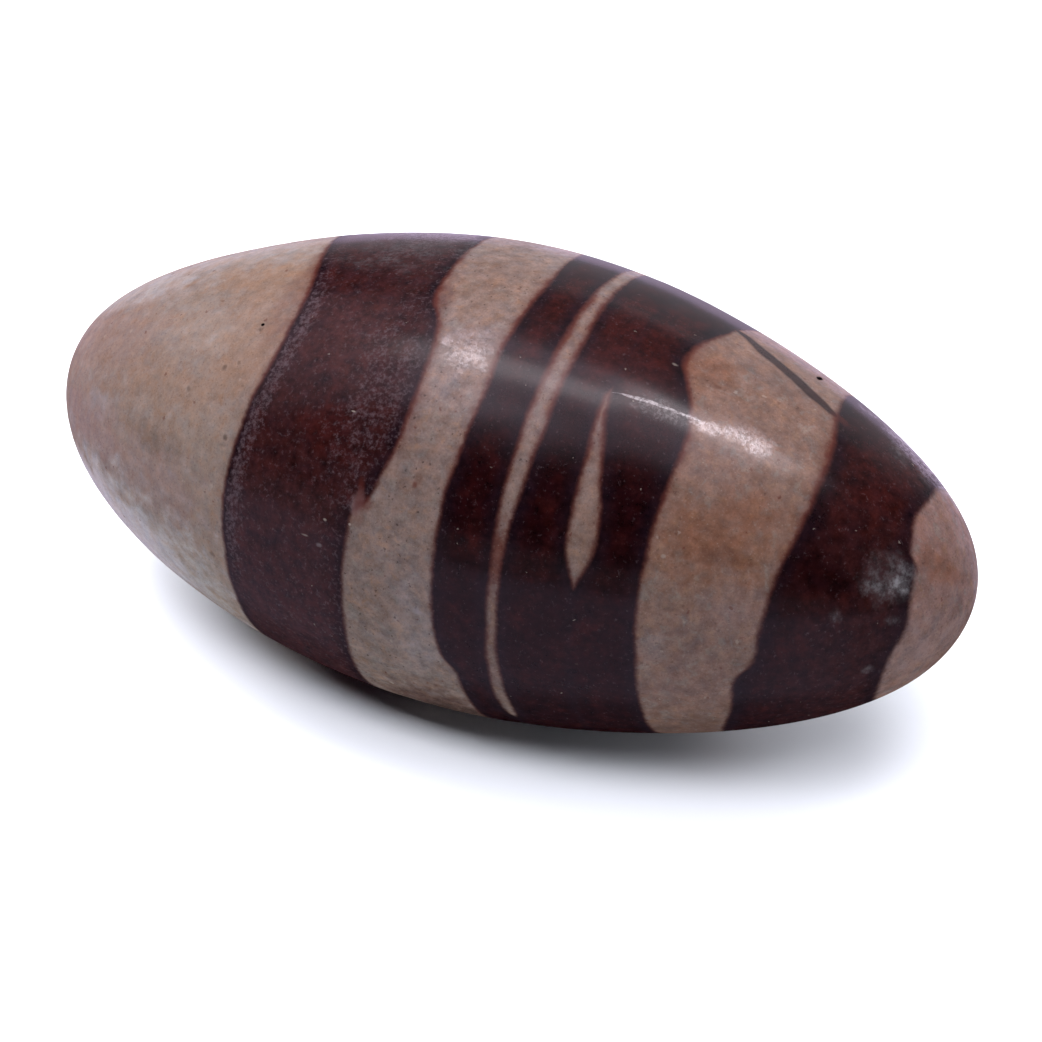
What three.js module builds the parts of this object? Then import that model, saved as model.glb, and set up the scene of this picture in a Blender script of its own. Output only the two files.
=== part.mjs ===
// Shiva lingam stone: one river-worn, egg-shaped pebble that lies on its side.
//
// Units are millimetres, with +Z up. X is the long axis, and +X points to the slimmer end.
// The origin is on the resting plane, under the middle of the stone's box.
// The banding is only colour, so the stone is one smooth closed solid.

import * as THREE from 'three';
import { mergeVertices } from 'three/addons/utils/BufferGeometryUtils.js';

// Overall size
const LENGTH = 90; // tip to tip
const GIRTH_RADIUS = 21.8; // mean radius of the fattest section
const OVAL = 0.02; // share by which a section is wider than the mean, and lower than it
const FLAT_DEPTH = 0.2; // how much the worn flat underneath takes off

// How the outline departs from an ellipse, as shares of the radius
const SLIMMER_NOSE = 0.013; // the +X half is this much slimmer, and the -X half fuller
const WAIST = 0.2; // pulls the flanks in, halfway to the tips
const TIP = 0.15; // fills the tips out again

// The middle bows out, so both tips hang a little below it
const ARCH = 1.5;
const ARCH_SKEW = 0.7; // how much less the +X tip hangs than the -X tip
const ARCH_TURN = -40; // degrees from the top, towards the back

// Broad swells and hollows left by uneven wear: the place of each along X, its turn round the
// axis in degrees (0 is the top, 90 the front, -90 the back), how far it spreads, and its rise
const SWELLS = [
  { x: 17, turn: 25, length: 9, spread: 7, rise: 0.16 },
  { x: 34, turn: 118, length: 7, spread: 22, rise: 0.3 },
  { x: -25, turn: 62, length: 12, spread: 30, rise: 0.15 },
  { x: -14, turn: -112, length: 15, spread: 26, rise: -0.4 },
  { x: 20, turn: -132, length: 13, spread: 24, rise: 0.3 },
  { x: 3, turn: -78, length: 10, spread: 20, rise: 0.2 },
];

// Facets round the axis and from tip to tip
const SIDES = 64;
const RINGS = 46;

const radians = THREE.MathUtils.degToRad;

// Height of the swells at a place on the stone; they fade out towards the tips
function swell(x, turn, roundness) {
  let rise = 0;
  for (const bump of SWELLS) {
    const along = (x - bump.x) / bump.length;
    const gap = turn - radians(bump.turn);
    const around = Math.atan2(Math.sin(gap), Math.cos(gap)) / radians(bump.spread);
    rise += bump.rise * Math.exp(-(along * along + around * around) / 2);
  }
  return rise * roundness;
}

// Takes a point of the unit sphere to the stone's surface, measured from the stone's axis
function shapePoint(point) {
  const along = THREE.MathUtils.clamp(point.x, -1, 1);
  const turn = Math.atan2(-point.y, point.z);
  const roundness = Math.sqrt(1 - along * along);
  const fullness = 1 - SLIMMER_NOSE * along - WAIST * along ** 2 + TIP * along ** 4;
  const x = along * LENGTH / 2;
  const radius = GIRTH_RADIUS * roundness * fullness + swell(x, turn, roundness);
  const bow = roundness ** 2 * (ARCH_SKEW * along - ARCH * along ** 2);
  const archTurn = radians(ARCH_TURN);
  return new THREE.Vector3(
    x,
    -(1 + OVAL) * radius * Math.sin(turn) - bow * Math.sin(archTurn),
    (1 - OVAL) * radius * Math.cos(turn) + bow * Math.cos(archTurn),
  );
}

function stoneGeometry() {
  const geometry = new THREE.SphereGeometry(1, SIDES, RINGS);
  geometry.rotateZ(-Math.PI / 2); // the poles go to the stone's tips
  geometry.deleteAttribute('normal');
  geometry.deleteAttribute('uv');
  const stone = mergeVertices(geometry);

  // The underside is worn flat just above its lowest point
  const axisHeight = (1 - OVAL) * GIRTH_RADIUS - FLAT_DEPTH;
  const corners = stone.attributes.position;
  const corner = new THREE.Vector3();
  for (let i = 0; i < corners.count; i += 1) {
    const shaped = shapePoint(corner.fromBufferAttribute(corners, i));
    corners.setXYZ(i, shaped.x, shaped.y, Math.max(0, shaped.z + axisHeight));
  }

  // The box's bottom centre becomes the origin
  stone.computeBoundingBox();
  const middle = stone.boundingBox.getCenter(new THREE.Vector3());
  stone.translate(-middle.x, -middle.y, 0);
  stone.computeVertexNormals();
  return stone;
}

const stoneFinish = new THREE.MeshStandardMaterial({
  color: 0x6b4a44, // between the maroon bands and the taupe ones
  roughness: 0.45,
  metalness: 0,
});

const lingam = new THREE.Group();
const stone = new THREE.Mesh(stoneGeometry(), stoneFinish);
stone.name = 'lingam_stone';
lingam.add(stone);

export default lingam;
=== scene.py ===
"""Looks for a shiva lingam stone: a river-worn, egg-shaped pebble with maroon bands on taupe.

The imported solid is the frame. One fine mesh replaces it, shaped by the same formula and given
small relief, and its banded finish is worked out from the place on the stone alone.
Lengths in the tables are millimetres. A place on the stone is given by its station, the distance
along X from the middle, and by its turn round the axis in degrees: 0 is the top, 90 the front,
-90 the back and 180 the underside.
"""

import math

import bmesh
import bpy
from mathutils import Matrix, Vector, noise


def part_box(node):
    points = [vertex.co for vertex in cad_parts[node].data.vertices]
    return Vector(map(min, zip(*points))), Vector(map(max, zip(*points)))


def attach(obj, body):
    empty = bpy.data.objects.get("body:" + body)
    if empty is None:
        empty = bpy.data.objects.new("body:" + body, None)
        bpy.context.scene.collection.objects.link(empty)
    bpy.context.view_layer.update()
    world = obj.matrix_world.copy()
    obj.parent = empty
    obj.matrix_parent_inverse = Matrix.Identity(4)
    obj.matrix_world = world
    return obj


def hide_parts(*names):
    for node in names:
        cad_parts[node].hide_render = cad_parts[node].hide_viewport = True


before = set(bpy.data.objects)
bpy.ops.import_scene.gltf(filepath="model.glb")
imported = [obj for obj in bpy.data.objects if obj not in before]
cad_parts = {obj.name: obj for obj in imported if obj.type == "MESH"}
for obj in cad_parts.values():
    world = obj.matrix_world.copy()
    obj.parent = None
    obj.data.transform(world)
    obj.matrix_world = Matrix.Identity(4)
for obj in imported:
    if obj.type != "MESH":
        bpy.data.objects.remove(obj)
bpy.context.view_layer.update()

bl_info = {
    "name": "Shiva lingam stone",
    "version": (1, 0, 0),
    "blender": (4, 5, 0),
    "location": "3D View > Sidebar > Lingam",
    "description": "Builds a banded river stone and a small studio round it",
    "category": "Object",
}

NODE = "lingam_stone"
MM = 0.001
LOWEST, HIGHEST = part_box(NODE)
LENGTH = (HIGHEST.x - LOWEST.x) / MM

# Broad swells and hollows left by uneven wear: station, turn, spread along X in mm,
# spread round the axis in degrees, rise in mm
SWELLS = (
    (17, 25, 9, 7, 0.16),
    (34, 118, 7, 22, 0.30),
    (-25, 62, 12, 30, 0.15),
    (-14, -112, 15, 26, -0.40),
    (20, -132, 13, 24, 0.30),
    (3, -78, 10, 20, 0.20),
)

# Pits worn into the skin: station, turn, radius and depth in mm
PITS = (
    (27.7, -25.5, 0.34, 0.08),
    (-18.3, 29.0, 0.30, 0.18),
    (-17.9, 60.5, 0.34, 0.12),
    (-18.9, 41.0, 0.30, 0.10),
    (22.6, 61.0, 0.32, 0.10),
    (-31.0, -60.0, 0.50, 0.22),
    (6.0, -95.0, 0.45, 0.20),
    (24.5, -118.0, 0.40, 0.18),
    (-8.0, 150.0, 0.45, 0.20),
)

# Bruises, where a knock has crushed the skin to a pale rough patch: station, turn,
# radius in mm, strength
BRUISES = (
    (39.6, 50.0, 2.4, 0.26),
    (38.8, 56.5, 1.2, 0.25),
    (40.2, 52.5, 0.9, 0.85),
    (40.2, 43.0, 0.8, 0.30),
    (36.2, 70.5, 0.6, 0.24),
    (40.2, 71.0, 0.6, 0.20),
    (39.0, 99.0, 0.6, 0.24),
    (-9.5, -70.0, 1.1, 0.30),
)
BRUISE_DEPTH = 0.09  # mm, at a strength of 1
BRUISE_DEGREES_PER_MM = 5.8

# Boundaries between the bands, as (turn, station) pairs. They meet again underneath.
CAP_TO_FIRST = (
    (-180, -15.6), (-140, -16.8), (-100, -19.2), (-60, -20.8), (-30, -20.0), (-15, -18.7),
    (0, -17.2), (10, -16.1), (20, -15.3), (32, -15.2), (42, -15.6), (55, -16.4),
    (75, -17.0), (90, -16.8), (110, -16.5), (140, -15.9), (180, -15.6),
)
FIRST_TO_PALE = (
    (-180, -5.2), (-140, -6.6), (-100, -7.4), (-60, -6.4), (-25, -5.0), (0, -4.2),
    (14, -3.6), (20, -2.1), (28, -1.35), (42, -1.1), (50, -1.2), (55, -1.5), (58, -1.8),
    (61, -2.05), (64, -2.45), (65.6, -2.9), (66.6, -3.5), (68, -3.9), (74, -4.1),
    (90, -4.3), (120, -4.6), (150, -4.8), (180, -5.2),
)
PALE_TO_WIDE = (
    (-180, 7.0), (-150, 6.0), (-110, 3.2), (-70, 2.2), (-40, 3.0), (-20, 4.1),
    (0, 4.75), (20, 4.65), (35, 4.85), (48, 4.55), (60, 4.2), (75, 4.2),
    (90, 4.5), (99, 5.0), (103, 5.9), (110, 6.4), (130, 6.5), (155, 6.9), (180, 7.0),
)
WIDE_TO_BROAD = (
    (-180, 22.6), (-150, 23.6), (-110, 23.0), (-70, 21.4), (-40, 20.6), (-20, 20.0),
    (-10, 19.45), (0, 18.4), (6, 18.35), (12, 19.2), (18, 20.4), (25, 21.1),
    (35, 21.45), (50, 21.2), (75, 21.2), (95, 21.6), (115, 21.7), (150, 21.9), (180, 22.6),
)
BROAD_TO_LAST = (
    (-180, 26.6), (-150, 28.2), (-110, 30.6), (-70, 30.9), (-30, 30.3), (-10, 31.0),
    (5, 31.95), (20, 32.4), (32, 32.4), (45, 32.0), (60, 31.4), (78, 31.0),
    (92, 30.5), (95.5, 29.7), (98, 29.35), (108, 29.15), (120, 28.4), (130, 27.6),
    (155, 26.6), (180, 26.6),
)
LAST_TO_NOSE = (
    (-180, 38.6), (-130, 39.2), (-80, 40.3), (-40, 40.0), (0, 39.8), (15, 39.65),
    (28, 40.0), (34, 40.3), (40, 40.95), (55, 41.15), (72, 41.35), (83, 41.1), (90, 40.7),
    (100, 40.3), (115, 39.85), (130, 39.3), (155, 38.7), (180, 38.6),
)

# The thin pale vein in the wide band: its middle, then half its width (below 0 there is none)
VEIN_MIDDLE = (
    (-180, 9.2), (-140, 8.0), (-100, 7.6), (-60, 8.0), (-30, 8.9), (0, 9.4), (20, 9.65),
    (40, 9.7), (60, 9.55), (80, 9.52), (100, 9.62), (112, 9.75), (122, 9.9), (140, 10.1),
    (180, 9.2),
)
VEIN_HALF = (
    (-180, -0.6), (-150, 0.30), (-100, 0.75), (-30, 0.75), (0, 0.85), (20, 1.0),
    (33, 0.98), (38, 1.05), (43, 0.90), (52, 0.84), (60, 0.68), (68, 0.55), (76, 0.50),
    (90, 0.52), (105, 0.58), (114, 0.56), (122, 0.35), (134, -0.6), (180, -0.6),
)

# The lens-shaped pale sliver beside it
SLIVER_MIDDLE = (
    (15, 14.3), (24, 14.4), (30, 14.5), (35, 14.8), (40, 15.1), (50, 15.65), (58, 15.95),
    (66, 16.05), (76, 16.1),
)
SLIVER_HALF = (
    (13, -0.8), (21, -0.35), (24, 0.12), (27, 0.36), (30, 0.46), (35, 0.58),
    (40, 0.70), (45, 0.84), (50, 1.05), (55, 1.25), (60, 1.28), (64, 1.18), (68, 0.80),
    (71, 0.35), (74, -0.1), (78, -0.8),
)

# The thin dark streak that crosses the broad pale band: (station, turn), then half its width
STREAK_TURN = (
    (19.5, -20.3), (21, -19.4), (23, -16.8), (25, -14.6), (27, -12.2), (29, -9.7), (31.5, -7.6),
)
STREAK_HALF = (
    (18.8, -0.6), (20.1, 0.25), (21.5, 0.5), (23.5, 0.70), (27, 0.80), (29, 0.66), (30.8, 0.32),
    (32.2, -0.6),
)
STREAK_MM_PER_DEGREE = 0.34
STREAK_DEPTH = 0.09  # how deep in the dark stone it counts as, in mm, so that it stays paler

# Clouds of other colours in the pale bands: station, turn, half length in mm, half spread in
# degrees, name of the colour, strength. Some are painted light: whitish haze at the blunter tip
# and shade low on the underside.
CLOUDS = (
    (-35, 38, 8.0, 14, "rose", 0.50),
    (-38, 30, 5, 13, "rose", 0.40),
    (-21, 12, 7, 13, "ochre", 0.45),
    (-19, 36, 5, 20, "ochre", 0.45),
    (-16.8, 16, 1.7, 26, "rust", 0.32),
    (-27, 52, 8, 9, "ochre", 0.30),
    (-24, 34, 5.5, 8, "chalk", 0.16),
    # Painted haze: the next two whitish clouds lighten the blunter tip's top to stand in for glare.
    (-37, 3, 10, 20, "frost_and_haze", 0.55),
    (-25, -8, 8, 15, "frost_and_haze", 0.30),
    (-27, 21, 5, 6, "ash", 0.30),
    (-26, 68, 4, 6, "umber", 0.30),
    (-34.5, 64, 3.5, 5, "mist", 0.35),
    (-37, 78, 7, 16, "mauve", 0.50),
    (-26, 82, 9, 14, "mauve", 0.40),
    # Painted reflection: this whitish cloud lightens the blunter tip's underside to stand in for the floor's
    # glare.
    (-31, 112, 17, 30, "frost_and_haze", 0.75),
    (-34, 87, 2.5, 4, "umber", 0.25),
    (0.5, 2, 4.5, 20, "ochre", 0.22),
    (-3.0, 12, 1.5, 10, "rust", 0.40),
    (-0.6, 44, 1.0, 11, "rust", 0.25),
    (-3.1, 67.5, 0.9, 4, "rust", 0.30),
    (2.8, 92, 2.6, 17, "mist", 0.30),
    (1.5, 55, 3.5, 10, "umber", 0.15),
    # Painted shade: the next two clouds darken the pale band beside the first dark band low on the
    # underside, near the floor.
    (3.0, 130, 8, 20, "umber", 0.90),
    (3.0, 141, 8, 19, "soot_and_shade", 0.80),
    (1.5, 57, 0.5, 2, "umber", 0.40),
    (9.5, 70, 1.2, 10, "rust", 0.75),
    (9.5, 96, 1.2, 24, "rust", 0.30),
    (26, 54, 6.5, 14, "sienna", 0.50),
    (28.5, 41, 4, 7, "sienna", 0.35),
    (26.6, 58, 1.7, 4, "umber", 0.40),
    (20.5, 5, 2.8, 11, "sienna", 0.45),
    (27, -6, 5, 9, "umber", 0.25),
    (29, 72, 3, 11, "mauve", 0.25),
    (23, 86, 1.6, 6, "mist", 0.25),
    (26, 98, 6, 20, "mauve", 0.15),
    (26, 108, 7, 26, "rust", 0.17),
    (0.5, -2, 4, 14, "umber", 0.16),
    # Painted shade: this cloud darkens the broad pale band low on the underside, near the floor.
    (25, 134, 8, 21, "umber", 0.60),
    (42.6, 31, 2.2, 15, "sienna", 0.45),
    (42.5, 92, 4.5, 32, "petal", 0.65),
)

# Clouds in the dark bands, in the same form
DARK_CLOUDS = (
    (13, 8, 8, 26, "ember", 0.75),
    (6.5, 5, 3, 22, "ember", 0.60),
    (-9, 28, 5, 14, "brick", 0.45),
    (-8, 52, 3, 8, "ember", 0.60),
    (36, 15, 4, 24, "ember", 0.55),
    (35, 57, 3, 9, "maroon", 0.70),
)

# Ground colour of the pale and of the dark stone along its length: station, name of the colour
PALE_GROUND = (
    (-40, "rose"), (-28, "tip_tan"), (-20, "tip_tan"), (-6, "taupe"), (13, "taupe"), (20, "clay"),
    (33, "clay"), (40, "blush"),
)
DARK_GROUND = ((-14, "plum"), (-4, "plum"), (5, "maroon"), (30, "maroon"), (39, "plum"))

# Small stains that cross both stones: station, turn, half length in mm, half spread in degrees,
# name of the colour, strength
STAINS = (
    (-3.5, 65.2, 0.66, 3.2, "mauve", 0.50),
    (-3.45, 63.8, 0.50, 4.4, "rust", 0.55),
    (-2.8, 65.2, 0.9, 2.2, "rust", 0.55),
    (31.3, -7.2, 0.9, 3.0, "rust", 0.45),
    (-5.9, 46.4, 0.25, 0.25, "chalk", 0.6),
    (-6.3, 71.6, 0.2, 0.35, "chalk", 0.5),
    (-3.85, 71.0, 0.15, 0.4, "chalk", 0.7),
    (-8.1, 76.8, 0.4, 0.3, "chalk", 0.3),
    (-6.6, 78.0, 0.4, 0.6, "mist", 0.3),
    (18.0, 9.0, 0.3, 0.5, "chalk", 0.35),
    (-20.3, 43.0, 0.3, 1.0, "soot_and_shade", 0.5),
    (-23.5, 51.0, 0.3, 1.0, "soot_and_shade", 0.4),
    (-17.9, 60.5, 0.3, 0.9, "soot_and_shade", 0.6),
    (-18.9, 41.0, 0.25, 0.8, "soot_and_shade", 0.4),
    (-18.5, 93.0, 0.35, 1.0, "soot_and_shade", 0.4),
    (1.3, 58.5, 0.28, 0.9, "rust", 0.6),
    (3.0, 87.0, 0.5, 1.4, "mist", 0.5),
    (22.6, 61.0, 0.25, 0.7, "chalk", 0.5),
    (21.8, 10.0, 0.4, 1.2, "umber", 0.5),
)

# Deep pits, dark at the bottom with painted shade: station, turn, half length in mm, half spread in degrees
SHADED_PITS = (
    (27.7, -25.5, 0.26, 2.4),
    (-18.3, 29.0, 0.20, 0.5),
    (-31.0, -60.0, 0.30, 1.0),
    (6.0, -95.0, 0.25, 0.7),
)

# How wide the iron stain along the band edges is, as (turn, share) pairs
RUSTY_TURNS = (
    (-60, 0.5), (-15, 0.6), (5, 1.1), (25, 1.0), (45, 0.8), (70, 0.6), (100, 0.45), (140, 0.4),
    (180, 0.5),
)

# How dusty the rim of the first dark band is, as (turn, share) pairs
DUSTY_TURNS = (
    (-60, 0.3), (-10, 0.4), (10, 0.6), (35, 1.0), (75, 1.0), (95, 0.5), (120, 0.2), (180, 0.3),
)

# Where powder lies thickest: station, turn, half length in mm, half spread in degrees
DUSTY_SHOULDER = (-4.2, 42.0, 5.0, 34.0)

# How dusty the dark stone is along its length, as (station, share) pairs
DUSTY_STATIONS = ((-17, 0.3), (-8, 0.3), (-4, 0.45), (0, 0.3), (8, 0.12), (30, 0.12), (40, 0.2))

# Where the skin has kept a bright polish: station, turn, half length in mm, half spread in
# degrees, strength
POLISHED = (
    (2.2, 25.0, 3.1, 9.0, 0.80),
    (-0.3, 24.4, 0.7, 1.8, 1.0),
    (26.1, 21.4, 3.1, 5.2, 0.95),
    (23.2, 23.6, 2.6, 2.8, 0.9),
    (24.6, 21.6, 5.6, 9.0, 0.28),
    (18.6, 24.8, 4.4, 4.6, 0.44),
    (-33.0, 114.0, 14.0, 28.0, 0.50),
    (-10.0, -26.0, 9.0, 40.0, 0.70),
    (1.5, -36.0, 4.0, 18.0, 0.60),
    (26.0, -38.0, 5.0, 18.0, 0.60),
    (36.5, -36.0, 6.5, 30.0, 0.85),
)

# A thin burnished line across the dark stone: (station, turn) and (station, half width)
GLINT_TURN = ((12, 24.6), (14, 24.4), (17, 23.8), (19, 23.6), (21.5, 23.0))
GLINT_HALF = (
    (12, -0.3), (14.2, 0.0), (15, 0.06), (16.5, 0.2), (18, 0.22), (20, 0.16), (22, 0.26),
    (24, -0.3),
)
GLINT_MM_PER_DEGREE = 0.37

# How much of the plain sheen is left, as (turn, share) pairs
SHEEN_TURNS = (
    (-180, 0.3), (-120, 1.0), (-60, 1.5), (-32, 1.8), (-20, 2.3), (-10, 2.1), (0, 1.0), (8, 0.65),
    (18, 0.95), (24, 1.25), (35, 1.4), (44, 0.95), (55, 0.75), (70, 0.62), (100, 0.62),
    (112, 0.3), (130, 0.15), (180, 0.3),
)

# How much of the plain sheen is left along the stone, as (station, share) pairs
SHEEN_STATIONS = (
    (-46, 0.45), (-20, 0.55), (-16, 1.0), (-7, 1.0), (-4, 0.6), (-1.5, 0.6), (1, 1.0), (31, 1.0),
    (36, 0.85), (42, 0.45),
)

# How speckled the pale stone is along its length, as (station, share) pairs
GRAINY_STATIONS = ((-46, 0.1), (-18, 0.25), (-5, 0.6), (5, 0.6), (20, 0.35), (46, 0.3))

# How strongly the pale stone is mottled along its length, as (station, share) pairs
MOTTLED_STATIONS = ((-46, 0.75), (-18, 1.0), (-5, 1.8), (5, 1.8), (20, 1.6), (46, 1.5))

# How much of the frosty network the pale stone has along its length, as (station, share) pairs
FROSTY_STATIONS = ((-46, 0.24), (-22, 0.20), (-15, 0.12), (-5, 0.08), (46, 0.08))

# How wide the iron stain is along the length, as (station, share) pairs
RUSTY_STATIONS = ((-46, 1.0), (33, 1.0), (38, 0.4), (46, 0.4))

# Softboxes round the stone: name, place and size in metres, power in watts. The strips hang level
# and make the highlights. The first four sets light the stone alone, the fourth without being
# mirrored in it, and the last lights the floor.
STRIP_LAMPS = (
    ("left_strip_lamp", (-0.15, 0.01, 0.62), (0.42, 0.12), 0.80),
    ("right_strip_lamp", (0.200, 0.135, 0.62), (0.29, 0.13), 0.40),
    ("right_wide_strip_lamp", (0.205, 0.105, 0.62), (0.32, 0.19), 0.78),
)
MIRRORED_LAMPS = (
    ("ceiling_lamp", (0.0, 0.03, 0.62), (0.60, 0.35), 1.5),
    ("front_strip_lamp", (0.0, -0.18, 0.60), (0.60, 0.06), 0.10),
    ("wide_front_strip_lamp", (0.0, -0.20, 0.60), (0.60, 0.10), 0.16),
    ("left_front_strip_lamp", (-0.125, -0.225, 0.60), (0.45, 0.15), 0.15),
    ("wide_left_front_strip_lamp", (-0.15, -0.265, 0.60), (0.40, 0.23), 0.18),
    ("front_low_lamp", (0.0, -0.90, 0.11), (2.0, 0.2), 0.8),
    ("back_strip_lamp", (0.0, 0.24, 0.59), (0.70, 0.20), 0.44),
    ("left_high_lamp", (-0.50, 0.0, 0.50), (0.7, 0.6), 1.25),
)
BACK_LAMPS = (
    ("back_high_lamp", (0.0, 0.48, 0.50), (0.90, 0.34), 0.60),
    ("back_lamp", (0.0, 0.90, 0.26), (1.6, 0.7), 2.5),
)
SOFT_LAMPS = (
    ("left_lamp", (-0.90, 0.10, 0.30), (0.6, 0.6), 0.9),
    ("left_low_lamp", (-0.80, -0.16, 0.06), (0.6, 0.1), 0.9),
)
FLOOR_LAMPS = (
    ("floor_top_lamp", (0.0, 0.0, 1.20), (1.0, 1.0), 14.3),
    ("floor_front_lamp", (0.0, -0.60, 1.04), (1.2, 0.3), 14.6),
    ("floor_left_lamp", (-0.60, 0.0, 1.04), (0.3, 1.0), 9.2),
    ("floor_right_lamp", (1.04, 0.0, 0.60), (0.3, 1.0), 6.2),
    ("floor_back_high_lamp", (0.0, 0.60, 1.04), (1.2, 0.3), 3.3),
    ("floor_back_lamp", (0.0, 1.04, 0.60), (1.2, 0.3), 5.2),
)

SPAN = 180.0  # turns run from -SPAN to SPAN
REACH = 46.0  # stations run from -REACH to REACH
POLISH_IOR = 1.8
FLOOR_REACH = 0.5  # half the floor's width, in metres
ROOM_GLOW = 1.6  # brightness of the surroundings to the eye


def tone(code):
    """Linear colour of an sRGB hex code such as C0FFEE."""
    parts = [int(code[i : i + 2], 16) / 255 for i in (0, 2, 4)]
    return tuple(p / 12.92 if p <= 0.04045 else ((p + 0.055) / 1.055) ** 2.4 for p in parts)


# ---------------------------------------------------------------- settings


def length_setting(name, description, default, **more):
    """A length property in metres."""
    return bpy.props.FloatProperty(
        name=name, description=description, default=default, unit="LENGTH", precision=4, **more
    )


def colour_setting(name, description, code):
    """A colour property whose default is a hex code."""
    return bpy.props.FloatVectorProperty(
        name=name, description=description, default=tone(code), subtype="COLOR", min=0, max=1
    )


def share_setting(name, description, default):
    """A plain number from 0 to 1."""
    return bpy.props.FloatProperty(
        name=name, description=description, default=default, min=0, max=1
    )


class LingamForm(bpy.types.PropertyGroup):
    """Shape of the stone."""

    girth_radius: length_setting("Girth radius", "Mean radius of the fattest section", 0.0218)
    oval: share_setting("Oval", "Share by which a section is wider than its mean", 0.02)
    flat_depth: length_setting("Flat depth", "What the worn flat underneath takes off", 0.0002)
    slimmer_nose: share_setting("Slimmer nose", "How much slimmer the +X half is", 0.013)
    waist: share_setting("Waist", "How far the flanks are pulled in between middle and tip", 0.2)
    tip: share_setting("Tip", "How far the tips are filled out again", 0.15)
    arch: length_setting("Arch", "How far both tips hang below the middle", 0.0015)
    arch_skew: length_setting("Arch skew", "How much less the +X tip hangs", 0.0007)
    arch_turn: bpy.props.FloatProperty(
        name="Arch turn",
        description="Side that the middle bows towards, from the top",
        default=math.radians(-40),
        subtype="ANGLE",
    )
    cuts: bpy.props.IntProperty(
        name="Cuts", description="Cuts across each side of the starting cube", default=118, min=8
    )


class LingamFinish(bpy.types.PropertyGroup):
    """Colours and polish of the stone."""

    rose: colour_setting("Rose", "Pale ground colour at the blunter tip", "958376")
    tip_tan: colour_setting("Tip tan", "Pale ground colour between that tip and the first band", "928575")
    taupe: colour_setting("Taupe", "Pale ground colour in the middle", "84766B")
    clay: colour_setting("Clay", "Pale ground colour towards the slimmer tip", "836C5D")
    blush: colour_setting("Blush", "Pale ground colour at the slimmer tip", "8C7167")
    ochre: colour_setting("Ochre", "Warm clouds in the pale bands", "957A60")
    sienna: colour_setting("Sienna", "Deeper warm clouds in the pale bands", "7F5338")
    # Umber is a real brown, and painted shade in two clouds low on the underside.
    umber: colour_setting("Umber", "Dim brown clouds in the pale bands", "5E483E")
    ash: colour_setting("Ash", "Grey mottling in the pale bands", "868479")
    mist: colour_setting("Mist", "Cool grey clouds in the pale bands", "9A9897")
    mauve: colour_setting("Mauve", "Pinkish grey clouds in the pale bands", "96827F")
    # The whitish network is real; the whitish clouds at the blunter tip are painted haze.
    frost_and_haze: colour_setting("Frost", "Whitish clouds and network at the blunter tip", "B6B8B3")
    petal: colour_setting("Petal", "Light pink clouds at the slimmer tip", "A0887F")
    chalk: colour_setting("Chalk", "Whitish grains and clouds", "B5B0A0")
    # Real dark grains, and painted shade in one cloud low on the underside.
    soot_and_shade: colour_setting("Soot", "Dark grains in the pale bands", "3C342D")
    # Painted shade at the bottom of the deep pits.
    pitch: colour_setting("Pitch", "Bottoms of the deep pits", "0E0A0A")
    rust: colour_setting("Rust", "Iron stain along the band edges", "5A2B22")
    maroon: colour_setting("Maroon", "Ground colour of the wide dark band", "1E080A")
    plum: colour_setting("Plum", "Ground colour of the narrower dark bands", "331B1B")
    ember: colour_setting("Ember", "Redder clouds in the dark bands", "3A1714")
    brick: colour_setting("Brick", "Brown-red clouds in the first dark band", "4A2B27")
    ink: colour_setting("Ink", "Blue-black along the edges of the dark bands", "1B1218")
    dust: colour_setting("Dust", "Pale mineral powder in the dark bands", "74676A")
    scuff: colour_setting("Scuff", "Bruised skin", "A3A8A8")
    roughness: share_setting("Roughness", "Roughness of the worn skin", 0.3)
    polish: share_setting("Polish", "Weight of the hand polish where it is best", 1.0)
    worn_polish: share_setting("Worn polish", "Weight of the hand polish elsewhere", 0.19)
    polish_roughness: share_setting("Polish roughness", "Roughness of that polish", 0.19)


class LingamStudio(bpy.types.PropertyGroup):
    """Floor, lamps and camera."""

    azimuth: bpy.props.FloatProperty(
        name="Azimuth", description="Camera's turn round the stone", default=math.radians(25.75),
        subtype="ANGLE"
    )
    elevation: bpy.props.FloatProperty(
        name="Elevation", description="Camera's height angle", default=math.radians(35), subtype="ANGLE"
    )
    field: bpy.props.FloatProperty(
        name="Field of view", description="Camera's field of view", default=math.radians(25), subtype="ANGLE"
    )
    distance: length_setting("Distance", "From the stone's middle to the camera", 0.2164)
    aim_right: length_setting("Aim right", "How far right of the middle the camera looks", 0.0021)
    aim_down: length_setting("Aim down", "How far below the middle the camera looks", 0.0041)
    floor_tone: colour_setting("Floor", "Colour of the floor to the eye", "EAEDF8")
    bounce_tone: colour_setting("Bounce", "Colour that the floor throws on the stone", "A2A1A9")
    mirror_tone: colour_setting("Mirrored floor", "Colour of the floor in the stone's sheen", "C4B4D0")
    lamp_tone: colour_setting("Lamp colour", "Colour of the lamps that light the stone", "FFEAFD")
    back_tone: colour_setting("Back lamp colour", "Colour of the lamps behind the stone", "F2EFFB")
    strip_tone: colour_setting("Strip colour", "Colour of the lamps that make the highlights", "F8F0F5")


# ---------------------------------------------------------------- shape


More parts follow.
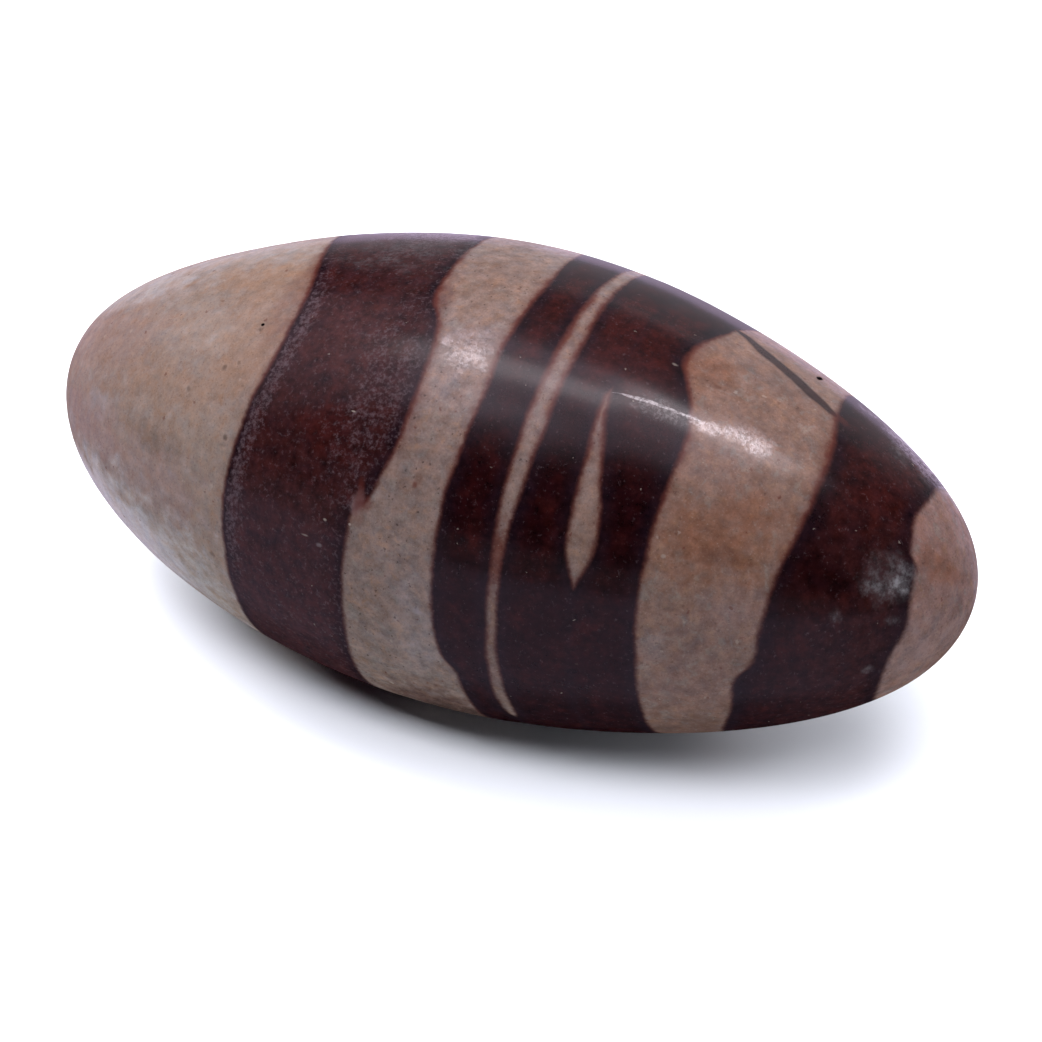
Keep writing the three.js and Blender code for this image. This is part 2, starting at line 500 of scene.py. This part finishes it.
class Form:
    """The stone's outer form, from the settings, in millimetres about its long axis."""

    def __init__(self, settings):
        self.half = LENGTH / 2
        self.girth = settings.girth_radius / MM
        self.wide = 1 + settings.oval
        self.low = 1 - settings.oval
        self.nose = settings.slimmer_nose
        self.waist = settings.waist
        self.tip = settings.tip
        self.arch = settings.arch / MM
        self.arch_skew = settings.arch_skew / MM
        self.arch_turn = settings.arch_turn
        self.axis_height = self.low * self.girth - settings.flat_depth / MM

    def swell(self, x, turn, roundness):
        """Height of the broad swells at a place; they fade out towards the tips."""
        rise = 0.0
        for station, centre, length, spread, height in SWELLS:
            along = (x - station) / length
            gap = turn - math.radians(centre)
            around = math.atan2(math.sin(gap), math.cos(gap)) / math.radians(spread)
            rise += height * math.exp(-(along * along + around * around) / 2)
        return rise * roundness

    def point(self, along, turn):
        """Place on the surface: along runs from -1 to 1 and turn is in radians."""
        roundness = math.sqrt(max(0.0, 1 - along * along))
        fullness = 1 - self.nose * along - self.waist * along**2 + self.tip * along**4
        x = along * self.half
        radius = self.girth * roundness * fullness + self.swell(x, turn, roundness)
        bow = roundness**2 * (self.arch_skew * along - self.arch * along**2)
        return Vector((
            x,
            -self.wide * radius * math.sin(turn) - bow * math.sin(self.arch_turn),
            self.low * radius * math.cos(turn) + bow * math.cos(self.arch_turn),
        ))

    def place(self, station, turn):
        """Place on the surface from a station in mm and a turn in degrees."""
        return self.point(station / self.half, math.radians(turn))


def even_ball(cuts):
    """A unit ball of nearly even quads, made from a cube."""
    ball = bmesh.new()
    bmesh.ops.create_cube(ball, size=2.0)
    bmesh.ops.subdivide_edges(ball, edges=ball.edges[:], cuts=cuts, use_grid_fill=True)
    for corner in ball.verts:
        corner.co = Vector(math.tan(c * math.pi / 4) for c in corner.co).normalized()
    return ball


def refine_round(stone, places, reach, cuts):
    """Cuts the faces near some places more finely."""
    edges = set()
    for edge in stone.edges:
        middle = (edge.verts[0].co + edge.verts[1].co) / 2
        if any((middle - place).length < reach for place in places):
            edges.add(edge)
    bmesh.ops.subdivide_edges(stone, edges=list(edges), cuts=cuts, use_grid_fill=True)


def undulation(place):
    """Slight waviness of the worn skin, in mm."""
    slow = noise.noise(place / 9.0) * 0.05
    quick = noise.noise(place / 3.2 + Vector((7, 3, 5))) * 0.012
    return slow + quick


def pit_depth(place, pits):
    """How far the pits sink the skin, with a softly rounded lip, in mm."""
    sunk = 0.0
    for centre, radius, depth in pits:
        gap = (place - centre).length / radius
        if gap < 2:
            sunk += depth * (math.exp(-gap * gap * 1.6) - 0.12 * math.exp(-((gap - 1.35) ** 2) * 9))
    return sunk


def bruise_depth(place, bruises):
    """How far the bruises crush the skin, in mm."""
    sunk = 0.0
    for centre, radius, strength in bruises:
        gap = (place - centre).length / radius
        if gap < 1.8:
            crumble = 0.5 + 0.5 * noise.noise(place * 2.2) + 0.35 * noise.noise(place * 5.0)
            sunk += strength * BRUISE_DEPTH * math.exp(-gap * gap * 1.5) * crumble
    return sunk


def shape_stone(settings):
    """The stone as a bmesh in metres, in the frame's place."""
    form = Form(settings)
    stone = even_ball(settings.cuts)
    for corner in stone.verts:
        along, y, z = corner.co
        corner.co = form.point(max(-1.0, min(1.0, along)), math.atan2(-y, z))
    pits = [(form.place(x, turn), radius, depth) for x, turn, radius, depth in PITS]
    bruises = [(form.place(x, turn), radius, strength) for x, turn, radius, strength in BRUISES]
    refine_round(stone, [p[0] for p in pits], 1.1, 2)
    stone.normal_update()
    moves = []
    for corner in stone.verts:
        place = corner.co
        rise = undulation(place) - pit_depth(place, pits) - bruise_depth(place, bruises)
        moves.append(corner.normal * rise)
    for corner, move in zip(stone.verts, moves):
        corner.co += move
        corner.co.z = max(0.0, corner.co.z + form.axis_height)
    bmesh.ops.scale(stone, vec=(MM, MM, MM), verts=stone.verts[:])
    settle_in_box(stone)
    bmesh.ops.recalc_face_normals(stone, faces=stone.faces[:])
    return stone


def settle_in_box(stone):
    """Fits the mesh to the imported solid's own box."""
    for axis in range(3):
        values = [corner.co[axis] for corner in stone.verts]
        low, high = min(values), max(values)
        ratio = (HIGHEST[axis] - LOWEST[axis]) / (high - low)
        for corner in stone.verts:
            corner.co[axis] = LOWEST[axis] + (corner.co[axis] - low) * ratio


# ---------------------------------------------------------------- shader maths


class Wire:
    """An output socket that can be used in expressions; each operator adds one Math node."""

    def __init__(self, bench, socket):
        self.bench = bench
        self.socket = socket

    def __add__(self, other):
        return self.bench.math("ADD", self, other)

    __radd__ = __add__

    def __sub__(self, other):
        return self.bench.math("SUBTRACT", self, other)

    def __rsub__(self, other):
        return self.bench.math("SUBTRACT", other, self)

    def __mul__(self, other):
        return self.bench.math("MULTIPLY", self, other)

    __rmul__ = __mul__

    def __truediv__(self, other):
        return self.bench.math("DIVIDE", self, other)

    def __neg__(self):
        return self.bench.math("MULTIPLY", self, -1.0)

    def __abs__(self):
        return self.bench.math("ABSOLUTE", self)

    def __pow__(self, other):
        return self.bench.math("POWER", self, other)


class Bench:
    """Adds nodes to one node tree."""

    def __init__(self, tree):
        self.tree = tree
        self.tree.nodes.clear()

    def node(self, kind, *values, settings=(), output=0, **named):
        """Adds any node: settings first, then values or links by place or by socket name."""
        made = self.tree.nodes.new("ShaderNode" + kind)
        for name, value in dict(settings).items():
            if name == "stops":
                set_stops(made.color_ramp, value)
            elif name == "curve":
                set_curve(made.mapping, value)
            else:
                setattr(made, name, value)
        for place, value in enumerate(values):
            self.plug(made.inputs[place], value)
        for name, value in named.items():
            self.plug(made.inputs[name.replace("_", " ")], value)
        return Wire(self, made.outputs[output]) if made.outputs else None

    def plug(self, socket, value):
        """Links a wire to a socket, or sets the socket's own value."""
        if isinstance(value, Wire):
            self.tree.links.new(value.socket, socket)
            return
        if hasattr(socket.default_value, "__len__") and len(socket.default_value) == 4:
            value = (*value[:3], 1.0)
        socket.default_value = value

    def math(self, operation, *values):
        """A Math node."""
        return self.node("Math", *values, settings={"operation": operation})

    def vector(self, operation, *values):
        """A Vector Math node."""
        output = "Value" if operation == "LENGTH" else 0
        return self.node("VectorMath", *values, settings={"operation": operation}, output=output)

    def beside(self, wire, output):
        """Another output of the node that a wire comes from."""
        return Wire(self, wire.socket.node.outputs[output])

    def least(self, *values):
        """The smallest of several values."""
        first, *rest = values
        for other in rest:
            first = self.math("MINIMUM", first, other)
        return first

    def most(self, *values):
        """The largest of several values."""
        first, *rest = values
        for other in rest:
            first = self.math("MAXIMUM", first, other)
        return first

    def fade(self, value, low, high):
        """0 below low, 1 above high and smooth between; low may lie above high."""
        return self.node(
            "MapRange", value, low, high, 0.0, 1.0, settings={"interpolation_type": "SMOOTHSTEP"}
        )

    def mix(self, factor, first, second):
        """A colour between two."""
        made = self.tree.nodes.new("ShaderNodeMix")
        made.data_type = "RGBA"
        made.clamp_factor = True
        for socket, value in ((0, factor), (6, first), (7, second)):
            self.plug(made.inputs[socket], value)
        return Wire(self, made.outputs[2])

    def grain(self, place, size, detail=2.0, roughness=0.5, shift=0.0, warp=0.0):
        """Noise whose lumps are about size mm across, from 0 to 1."""
        spot = self.node("Mapping", place, (shift, shift * 0.7, -shift * 1.3))
        return self.node(
            "TexNoise", Vector=spot, Scale=1.0 / size, Detail=detail, Roughness=roughness, Distortion=warp
        )


def set_stops(ramp, stops):
    """Sets a colour ramp's stops from (position, colour) pairs."""
    while len(ramp.elements) > 1:
        ramp.elements.remove(ramp.elements[-1])
    for i, (position, colour) in enumerate(stops):
        stop = ramp.elements[0] if i == 0 else ramp.elements.new(position)
        stop.position = position
        stop.color = (*colour[:3], 1.0)


def set_curve(mapping, points):
    """Sets a float curve's points, each pair in 0 to 1, with handles that don't overshoot."""
    curve = mapping.curves[0]
    while len(curve.points) > 2:
        curve.points.remove(curve.points[1])
    for point, (x, y) in zip((curve.points[0], curve.points[1]), (points[0], points[-1])):
        point.location = (x, y)
    for x, y in points[1:-1]:
        curve.points.new(x, y)
    for point in curve.points:
        point.handle_type = "AUTO_CLAMPED"
    mapping.update()


# ---------------------------------------------------------------- finish


class StoneFinish:
    """Works out the stone's colour, polish and grain from the place on it."""

    def __init__(self, material, settings, axis_height):
        self.bench = Bench(material.node_tree)
        self.look = settings
        bench = self.bench
        spot = bench.node("TexCoord", output="Object")
        self.place = bench.node(
            "Mapping", spot, (0, 0, -axis_height), (0, 0, 0), (1 / MM, 1 / MM, 1 / MM)
        )
        x, y, z = self.split(self.place)
        ragged = (bench.grain(self.place, 3.0, 3.0, 0.55) - 0.5) * 0.40
        frayed = (bench.grain(self.place, 0.5, 3.0, 0.65, 11.0) - 0.5) * 0.32
        self.station = x + ragged + frayed
        wander = (bench.grain(self.place, 4.0, 2.0, 0.5, 23.0) - 0.5) * 3.0
        turn = bench.math("DEGREES", bench.math("ARCTAN2", -y, z))
        self.turn = turn + wander
        self.chart = bench.node("CombineXYZ", x, turn, 0.0)
        ruffle = bench.node("TexNoise", Vector=self.place, Scale=1 / 2.2, Detail=4.0, Roughness=0.65)
        ruffle = bench.vector("SUBTRACT", bench.beside(ruffle, "Color"), (0.5, 0.5, 0.5))
        self.ruffle = bench.vector("MULTIPLY", ruffle, (1.8, 1.8, 0.0))
        crumb = bench.node("TexNoise", Vector=self.place, Scale=1 / 0.3, Detail=2.0, Roughness=0.6)
        crumb = bench.beside(crumb, "Color")
        self.crumbled = bench.vector("MULTIPLY_ADD", crumb, (0.5, 0.5, 0.5), self.place)

    def split(self, vector):
        """A vector's three parts."""
        parts = self.bench.node("SeparateXYZ", vector)
        return [Wire(self.bench, output) for output in parts.socket.node.outputs]

    def by_turn(self, pairs, low=-REACH, high=REACH):
        """A value that follows the turn, through given (turn, value) pairs."""
        return self.along_curve(self.turn, pairs, -SPAN, SPAN, low, high)

    def by_station(self, pairs, low=0.0, high=1.0):
        """A value that follows the station."""
        return self.along_curve(self.station, pairs, -REACH, REACH, low, high)

    def along_curve(self, value, pairs, start, end, low, high):
        """A float curve through the pairs, brought to and from the 0 to 1 range."""
        points = [((a - start) / (end - start), (b - low) / (high - low)) for a, b in pairs]
        if points[0][0] > 0:
            points.insert(0, (0.0, points[0][1]))
        if points[-1][0] < 1:
            points.append((1.0, points[-1][1]))
        share = (value - start) / (end - start)
        curve = self.bench.node("FloatCurve", 1.0, share, settings={"curve": points})
        return curve * (high - low) + low

    def ground(self, pairs):
        """A colour that follows the station, through (station, colour name) pairs."""
        along = (self.station + REACH) / (2 * REACH)
        stops = [((x + REACH) / (2 * REACH), getattr(self.look, name)) for x, name in pairs]
        return self.bench.node("ValToRGB", along, settings={"stops": stops})

    def between(self, start, end):
        """How deep a place lies inside a band, in mm; negative outside it."""
        return self.bench.least(self.station - start, end - self.station)

    def oval(self, station, turn, length, spread):
        """1 in the middle of a cloudy-edged oval and 0 outside it."""
        bench = self.bench
        size = (1 / length, 1 / spread, 0.0)
        start = (-station / length, -turn / spread, 0.0)
        away = bench.vector("MULTIPLY_ADD", self.chart, size, start)
        away = bench.vector("ADD", away, self.ruffle)
        return bench.fade(bench.vector("LENGTH", away), 1.15, 0.3)

    def hole(self, station, turn, length, spread):
        """1 inside a crisp oval and 0 outside it."""
        bench = self.bench
        size = (1 / length, 1 / spread, 0.0)
        start = (-station / length, -turn / spread, 0.0)
        away = bench.vector("MULTIPLY_ADD", self.chart, size, start)
        return bench.fade(bench.vector("LENGTH", away), 1.15, 0.75)

    def specks(self, spacing, radius, share, shift):
        """Scattered specks: mm between them and across half of one, and the share that shows."""
        bench = self.bench
        spot = bench.node("Mapping", self.crumbled, (shift, shift * 0.7, -shift * 1.3))
        cell = bench.node("TexVoronoi", Vector=spot, Scale=1 / spacing)
        near = bench.fade(cell, radius / spacing, radius * 0.5 / spacing)
        chance = bench.node("SeparateColor", bench.beside(cell, "Color"))
        return near * bench.fade(chance, 1 - share, 1 - share * 0.8)

    def darkness(self):
        """How deep a place lies in the dark stone, in mm; negative in the pale stone."""
        bench = self.bench
        first_edge = self.by_turn(CAP_TO_FIRST)
        second_edge = self.by_turn(FIRST_TO_PALE)
        self.from_first_edge = self.station - first_edge
        self.to_second_edge = second_edge - self.station
        first = bench.least(self.from_first_edge, self.to_second_edge)
        wide = self.between(self.by_turn(PALE_TO_WIDE), self.by_turn(WIDE_TO_BROAD))
        last = self.between(self.by_turn(BROAD_TO_LAST), self.by_turn(LAST_TO_NOSE))
        vein = self.by_turn(VEIN_HALF, -1, 2) - abs(self.station - self.by_turn(VEIN_MIDDLE))
        sliver = self.by_turn(SLIVER_HALF, -1, 2) - abs(self.station - self.by_turn(SLIVER_MIDDLE))
        wide = bench.least(wide, -vein, -sliver)
        self.banded = bench.most(first, wide, last)
        drift = abs(self.turn - self.by_station(STREAK_TURN, -SPAN, SPAN)) * STREAK_MM_PER_DEGREE
        streak = self.by_station(STREAK_HALF, -1, 2) - drift
        return bench.most(self.banded, bench.least(streak, STREAK_DEPTH))

    def build(self):
        """Adds the shader."""
        bench, look = self.bench, self.look
        deep = self.darkness()
        dark = bench.fade(deep, -0.40, 0.25)
        colour = bench.mix(dark, self.pale_stone(), self.dark_stone(deep))
        # Painted shade darkens the bottoms of the deep pits; the polish is taken out there too.
        pit_shade = bench.most(*(self.hole(*place) for place in SHADED_PITS))
        colour = bench.mix(pit_shade, self.bruised(colour), look.pitch)
        shader = bench.node(
            "BsdfPrincipled",
            Base_Color=colour,
            Roughness=self.roughness(),
            Coat_Weight=self.polish() * (1 - pit_shade),
            Coat_Roughness=look.polish_roughness,
            Coat_IOR=POLISH_IOR,
            Specular_IOR_Level=0.0,
            Normal=self.skin(),
        )
        bench.node("OutputMaterial", shader)

    def clouded(self, colour, size, swing, warmth, shift):
        """A colour made lighter and darker, warmer and cooler, by two cloudy noises."""
        bench = self.bench
        even = (bench.grain(self.place, size, 5.0, 0.74, shift) - 0.5) * swing + 1.0
        warm = (bench.grain(self.place, size, 4.0, 0.6, shift + 7.0) - 0.5) * warmth
        shade = bench.node("CombineXYZ", even + warm, even, even - warm)
        return bench.vector("MULTIPLY", colour, shade)

    def pale_stone(self):
        """Tan to clay, mottled and clouded, with dark grains and iron-stained borders, and a few painted
        clouds: haze at the blunter tip and shade low on the underside.
        """
        bench, look = self.bench, self.look
        colour = self.ground(PALE_GROUND)
        mottle = bench.grain(self.place, 1.0, 3.0, 0.6, 31.0, 0.5)
        colour = bench.mix(bench.fade(mottle, 0.5, 0.72) * 0.5, colour, look.ochre)
        colour = bench.mix(bench.fade(mottle, 0.48, 0.3) * 0.45, colour, look.ash)
        network = bench.fade(bench.grain(self.place, 1.7, 4.0, 0.7, 41.0), 0.42, 0.74)
        colour = bench.mix(network * self.by_station(FROSTY_STATIONS), colour, look.frost_and_haze)
        # Some clouds are painted light: whitish haze at the blunter tip and shade low on the underside.
        for station, turn, length, spread, shade, strength in CLOUDS:
            cloud = self.oval(station, turn, length, spread) * strength
            colour = bench.mix(cloud, colour, getattr(look, shade))
        colour = self.clouded(colour, 1.3, self.by_station(MOTTLED_STATIONS, 0, 2), 0.34, 37.0)
        fine = bench.grain(self.place, 0.18, 2.0, 0.6, 53.0)
        colour = bench.mix(bench.fade(fine, 0.55, 0.8) * 0.4, colour, look.soot_and_shade)
        colour = bench.mix(bench.fade(fine, 0.42, 0.2) * 0.30, colour, look.chalk)
        grainy = self.by_station(GRAINY_STATIONS)
        colour = bench.mix(self.specks(0.6, 0.13, 0.55, 61.0) * grainy, colour, look.soot_and_shade)
        colour = bench.mix(self.specks(1.5, 0.20, 0.4, 67.0) * 0.5, colour, look.rust)
        colour = bench.mix(self.specks(1.9, 0.25, 0.35, 73.0) * 0.35, colour, look.chalk)
        rusty = self.by_turn(RUSTY_TURNS, 0, 2) * self.by_station(RUSTY_STATIONS)
        width = (bench.grain(self.place, 2.4, 3.0, 0.6, 5.0) * 0.8 + 0.2) * rusty
        blush = bench.fade(self.banded + width * 2.2, -0.1, 1.3)
        colour = bench.mix(blush * 0.35, colour, look.rust)
        stain = bench.fade(self.banded + width, -0.1, 0.5)
        return bench.mix(stain * 0.85, colour, look.rust)

    def dark_stone(self, deep):
        """Maroon with redder clouds, blue-black edges and pale mineral dust."""
        bench, look = self.bench, self.look
        ember = bench.fade(bench.grain(self.place, 2.2, 4.0, 0.65, 71.0), 0.45, 0.75)
        colour = bench.mix(ember * 0.5, self.ground(DARK_GROUND), look.ember)
        for station, turn, length, spread, shade, strength in DARK_CLOUDS:
            cloud = self.oval(station, turn, length, spread) * strength
            colour = bench.mix(cloud, colour, getattr(look, shade))
        colour = bench.mix(bench.fade(deep, 1.6, 0.2) * 0.7, colour, look.ink)
        colour = self.clouded(colour, 1.2, 3.2, 0.8, 79.0)
        fringe = bench.fade(self.from_first_edge, 2.9, 1.2) * bench.fade(self.from_first_edge, 0.0, 0.5)
        fringe = fringe * self.by_turn(DUSTY_TURNS, 0, 1)
        shoulder = self.oval(*DUSTY_SHOULDER)
        dusty = bench.most(fringe, shoulder * 0.75, self.by_station(DUSTY_STATIONS))
        powder = bench.fade(bench.grain(self.place, 0.4, 5.0, 0.75, 89.0) + dusty * 0.2, 0.58, 0.86)
        colour = bench.mix(powder * 0.5, colour, look.dust)
        colour = bench.mix(self.specks(1.5, 0.11, 0.32, 97.0) * 0.34, colour, look.chalk)
        return bench.mix(self.specks(3.1, 0.15, 0.35, 109.0) * 0.45, colour, look.chalk)

    def bruised(self, colour):
        """Pale crumbled skin where the stone was knocked."""
        bench, look = self.bench, self.look
        crumbs = bench.fade(bench.grain(self.place, 0.7, 4.0, 0.7, 103.0), 0.40, 0.66)
        for station, turn, radius, strength in BRUISES:
            mark = self.oval(station, turn, radius, radius * BRUISE_DEGREES_PER_MM) * strength
            colour = bench.mix(mark * (crumbs * 0.6 + 0.2), colour, look.scuff)
        for station, turn, length, spread, shade, strength in STAINS:
            spot = self.oval(station, turn, length, spread) * strength
            colour = bench.mix(spot, colour, getattr(look, shade))
        return colour

    def roughness(self):
        """Roughness of the skin, a little uneven."""
        return self.look.roughness + (self.bench.grain(self.place, 1.2, 3.0, 0.6, 97.0) - 0.5) * 0.12

    def polish(self):
        """Weight of the polish: best in a few patches, broken up by the grain."""
        bench, look = self.bench, self.look
        best = 0.0
        for station, turn, length, spread, strength in POLISHED:
            best = bench.most(best, self.oval(station, turn, length, spread) * strength)
        away = abs(self.turn - self.by_station(GLINT_TURN, -SPAN, SPAN)) * GLINT_MM_PER_DEGREE
        glint = bench.fade(self.by_station(GLINT_HALF, -1, 1) - away, -0.08, 0.1)
        best = bench.most(best, glint)
        grit = bench.fade(bench.grain(self.place, 0.36, 4.0, 0.75, 101.0), 0.38, 0.60)
        worn = self.by_turn(SHEEN_TURNS, 0, 4) * self.by_station(SHEEN_STATIONS) * look.worn_polish
        return bench.most(best * (0.35 + grit * 0.65) * look.polish, worn)

    def skin(self):
        """Fine grain of the surface as a bump."""
        bench = self.bench
        fine = bench.grain(self.place, 0.2, 2.0, 0.6, 113.0)
        coarse = bench.grain(self.place, 0.9, 2.0, 0.5, 127.0)
        height = fine * 0.009 + coarse * 0.012
        return bench.node("Bump", 1.0, MM, Height=height)


# ---------------------------------------------------------------- studio


def new_object(name, data):
    """Links a new object to the scene."""
    made = bpy.data.objects.new(name, data)
    bpy.context.scene.collection.objects.link(made)
    return made


def aim(thing, place, target):
    """Puts a lamp or camera at a place, looking at a target."""
    thing.location = place
    thing.rotation_euler = (target - place).to_track_quat("-Z", "Y").to_euler()


def add_softbox(name, place, target, size, power, colour, lit, mirrored):
    """A rectangular lamp, not seen itself, that lights the objects of one collection."""
    lamp = bpy.data.lights.new(name, "AREA")
    lamp.shape = "RECTANGLE"
    lamp.size, lamp.size_y = size
    lamp.energy = power
    lamp.color = colour
    softbox = new_object(name, lamp)
    aim(softbox, place, target)
    softbox.visible_camera = False
    softbox.visible_glossy = mirrored
    softbox.light_linking.receiver_collection = lit
    return softbox


def lit_group(name, thing):
    """A collection of one object, for lamps that light it alone."""
    group = bpy.data.collections.new(name)
    group.objects.link(thing)
    return group


def add_floor(seen, thrown, mirrored):
    """A pale floor, bright to the eye, that throws less light back on the stone."""
    sheet = bmesh.new()
    bmesh.ops.create_grid(sheet, x_segments=8, y_segments=8, size=FLOOR_REACH)
    mesh = bpy.data.meshes.new("floor")
    sheet.to_mesh(mesh)
    sheet.free()
    floor = new_object("floor", mesh)
    paint = bpy.data.materials.new("floor_paint")
    paint.use_nodes = True
    bench = Bench(paint.node_tree)
    to_the_eye = bench.node("LightPath", output="Is Camera Ray")
    to_a_mirror = bench.beside(to_the_eye, "Is Glossy Ray")
    tone = bench.mix(to_the_eye, bench.mix(to_a_mirror, thrown, mirrored), seen)
    bench.node("OutputMaterial", bench.node("BsdfDiffuse", tone))
    mesh.materials.append(paint)
    return floor


def light_room():
    """Pale surroundings for the eye that give no light."""
    world = bpy.context.scene.world or bpy.data.worlds.new("room")
    bpy.context.scene.world = world
    world.use_nodes = True
    bench = Bench(world.node_tree)
    to_the_eye = bench.node("LightPath", output="Is Camera Ray")
    pale = bench.node("Background", (1.0, 1.0, 1.0), ROOM_GLOW)
    dim = bench.node("Background", (0.0, 0.0, 0.0), 0.0)
    bench.node("OutputWorld", bench.node("MixShader", to_the_eye, dim, pale))


# ---------------------------------------------------------------- operators


class LINGAM_OT_add_stone(bpy.types.Operator):
    """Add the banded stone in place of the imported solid"""

    bl_idname = "lingam.add_stone"
    bl_label = "Add stone"

    def execute(self, context):
        form = context.scene.lingam_form
        shape = shape_stone(form)
        mesh = bpy.data.meshes.new("stone_skin")
        shape.to_mesh(mesh)
        shape.free()
        mesh.shade_smooth()
        skin = bpy.data.materials.new("banded_stone")
        skin.use_nodes = True
        StoneFinish(skin, context.scene.lingam_finish, Form(form).axis_height).build()
        mesh.materials.append(skin)
        stone = new_object("stone_skin", mesh)
        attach(stone, "root")
        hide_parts(NODE)
        return {"FINISHED"}


class LINGAM_OT_add_studio(bpy.types.Operator):
    """Add the floor, the soft lamps and the camera"""

    bl_idname = "lingam.add_studio"
    bl_label = "Add studio"

    def execute(self, context):
        studio = context.scene.lingam_studio
        middle = Vector((0.0, 0.0, Form(context.scene.lingam_form).axis_height * MM))
        floor = add_floor(studio.floor_tone, studio.bounce_tone, studio.mirror_tone)
        light_room()
        lit_stone = lit_group("lit_stone", bpy.data.objects["stone_skin"])
        lit_floor = lit_group("lit_floor", floor)
        for lamps, colour, lit, mirrored in (
            (MIRRORED_LAMPS, studio.lamp_tone, lit_stone, True),
            (BACK_LAMPS, studio.back_tone, lit_stone, True),
            (SOFT_LAMPS, studio.lamp_tone, lit_stone, False),
            (FLOOR_LAMPS, (1.0, 1.0, 1.0), lit_floor, False),
        ):
            for name, place, size, power in lamps:
                add_softbox(name, Vector(place), middle, size, power, colour, lit, mirrored)
        for name, place, size, power in STRIP_LAMPS:
            below = Vector((place[0], 0.0, middle.z))
            add_softbox(name, Vector(place), below, size, power, studio.strip_tone, lit_stone, True)
        a, e = studio.azimuth, studio.elevation
        back = Vector((math.sin(a) * math.cos(e), -math.cos(a) * math.cos(e), math.sin(e)))
        right = Vector((math.cos(a), math.sin(a), 0.0))
        up = back.cross(right)
        lens = bpy.data.cameras.new("camera")
        lens.sensor_width = 36.0
        lens.lens_unit = "FOV"
        lens.angle = studio.field
        lens.clip_start = 0.01
        camera = new_object("camera", lens)
        target = middle + right * studio.aim_right - up * studio.aim_down
        aim(camera, middle + back * studio.distance, target)
        context.scene.camera = camera
        context.scene.view_settings.view_transform = "Standard"
        return {"FINISHED"}


class LINGAM_PT_panel(bpy.types.Panel):
    """Lists the settings and the operators"""

    bl_idname = "LINGAM_PT_panel"
    bl_label = "Lingam stone"
    bl_space_type = "VIEW_3D"
    bl_region_type = "UI"
    bl_category = "Lingam"

    def draw(self, context):
        scene = context.scene
        for title, group, operator in (
            ("Form", scene.lingam_form, None),
            ("Finish", scene.lingam_finish, LINGAM_OT_add_stone),
            ("Studio", scene.lingam_studio, LINGAM_OT_add_studio),
        ):
            box = self.layout.box()
            box.label(text=title)
            for name in group.__annotations__:
                box.prop(group, name)
            if operator:
                box.operator(operator.bl_idname)


CLASSES = (
    LingamForm,
    LingamFinish,
    LingamStudio,
    LINGAM_OT_add_stone,
    LINGAM_OT_add_studio,
    LINGAM_PT_panel,
)


def register():
    """Registers the classes and puts the settings on the scene."""
    for made in CLASSES:
        bpy.utils.register_class(made)
    bpy.types.Scene.lingam_form = bpy.props.PointerProperty(type=LingamForm)
    bpy.types.Scene.lingam_finish = bpy.props.PointerProperty(type=LingamFinish)
    bpy.types.Scene.lingam_studio = bpy.props.PointerProperty(type=LingamStudio)


def unregister():
    """Takes away what register added."""
    del bpy.types.Scene.lingam_form
    del bpy.types.Scene.lingam_finish
    del bpy.types.Scene.lingam_studio
    for made in reversed(CLASSES):
        bpy.utils.unregister_class(made)


def main():
    """Builds everything."""
    register()
    bpy.ops.lingam.add_stone()
    bpy.ops.lingam.add_studio()


if __name__ == "__main__":
    main()
